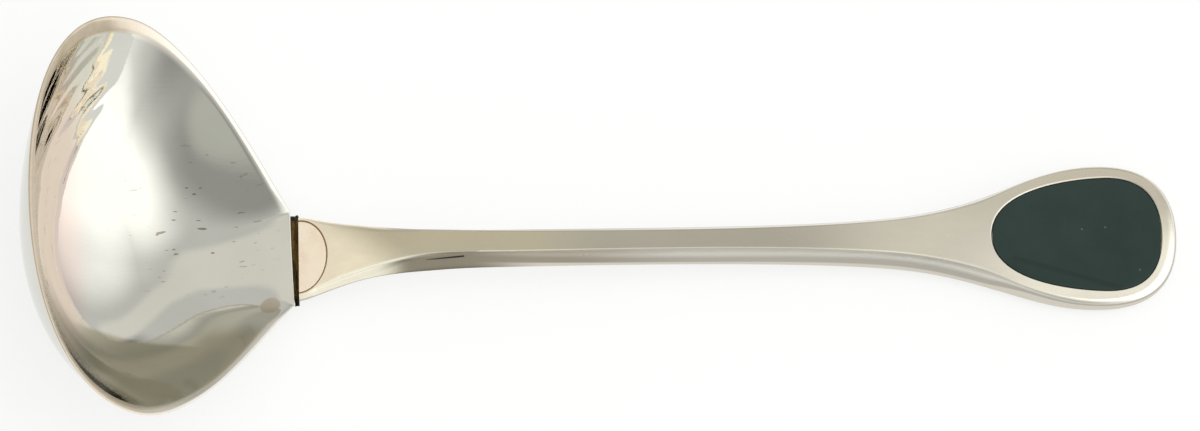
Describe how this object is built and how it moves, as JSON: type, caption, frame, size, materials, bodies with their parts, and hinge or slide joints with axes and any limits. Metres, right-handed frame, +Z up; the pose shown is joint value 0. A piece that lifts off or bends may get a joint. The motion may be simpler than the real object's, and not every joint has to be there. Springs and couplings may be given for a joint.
{
  "type": "gravy ladle",
  "caption": "Metal gravy ladle with a fan-shaped bowl that pours from either side, a slim arched handle and an inlaid oval end.",
  "frame": {"origin": "under the middle of the ladle's box, on the surface that it lies on", "axes": "+X along the handle from the bowl to the tip, +Y to the left of that, +Z up, with the ladle lying on its bowl's back and the flat of its terminal"},
  "size_m": [0.1764, 0.0664, 0.0344],
  "materials": {
    "polished_steel": "mirror polished stainless steel with fine wear scratches and a few stains",
    "satin_steel": "satin stainless steel, worn smoother on its edges",
    "polished_lug": "polished, flush with the handle",
    "slot_braze": "dark tarnished braze, rough",
    "seam_braze": "thin brown braze line",
    "green_enamel": "glossy dark green inlay with a few specks",
    "adhesive": "matte adhesive, hidden"
  },
  "bodies": {
    "root": {"bowl": "polished_steel", "handle": "satin_steel", "bowl_lug": "polished_lug", "neck_braze": "slot_braze", "lug_braze": "seam_braze", "inlay": "green_enamel", "inlay_bed": "adhesive"}
  },
  "joints": []
}
